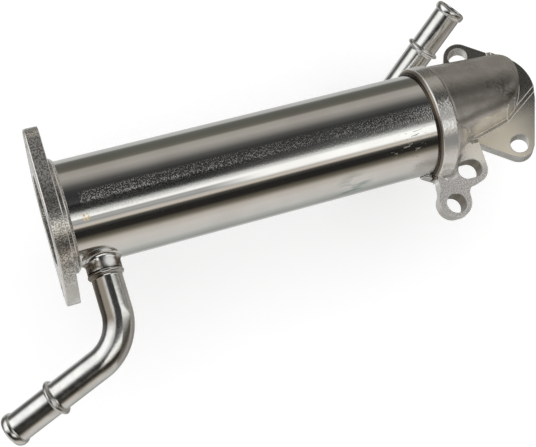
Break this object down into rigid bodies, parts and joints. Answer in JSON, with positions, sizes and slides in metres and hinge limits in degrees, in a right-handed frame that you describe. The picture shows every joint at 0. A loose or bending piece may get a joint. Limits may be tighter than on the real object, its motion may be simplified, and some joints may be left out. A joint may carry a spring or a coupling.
{
  "type": "egr cooler",
  "caption": "Steel exhaust gas recirculation cooler: tube-bundle heat exchanger with two-bolt inlet flange, cast outlet elbow with bracket ears and bent coolant pipes.",
  "frame": {"origin": "centre of the gas inlet flange's mating face, on the axis of the shell", "axes": "+X along the shell from gas inlet to gas outlet; +Z square to the bracket ears' face; +Y completes it, away from the ears"},
  "size_m": [0.3257, 0.1789, 0.1071],
  "materials": {
    "flange_plate": "satin, fine cast grain",
    "shell": "bright drawn steel, glossy",
    "casting": "satin investment casting with milled seats",
    "coolant_pipe": "bright, slightly rippled",
    "tube_sheet": "plain",
    "baffle": "plain",
    "gas_tube": "plain"
  },
  "bodies": {
    "root": {"inlet_flange": "flange_plate", "shell_tube": "shell", "outlet_housing": "casting", "coolant_inlet_pipe": "coolant_pipe", "coolant_outlet_pipe": "coolant_pipe", "inlet_tube_sheet": "tube_sheet", "outlet_tube_sheet": "tube_sheet", "baffle_1": "baffle", "baffle_2": "baffle", "baffle_3": "baffle", "gas_tube_01": "gas_tube", "gas_tube_02": "gas_tube", "gas_tube_03": "gas_tube", "gas_tube_04": "gas_tube", "gas_tube_05": "gas_tube", "gas_tube_06": "gas_tube", "gas_tube_07": "gas_tube", "gas_tube_08": "gas_tube", "gas_tube_09": "gas_tube", "gas_tube_10": "gas_tube", "gas_tube_11": "gas_tube", "gas_tube_12": "gas_tube", "gas_tube_13": "gas_tube", "gas_tube_14": "gas_tube", "gas_tube_15": "gas_tube", "gas_tube_16": "gas_tube", "gas_tube_17": "gas_tube", "gas_tube_18": "gas_tube", "gas_tube_19": "gas_tube"}
  },
  "joints": []
}
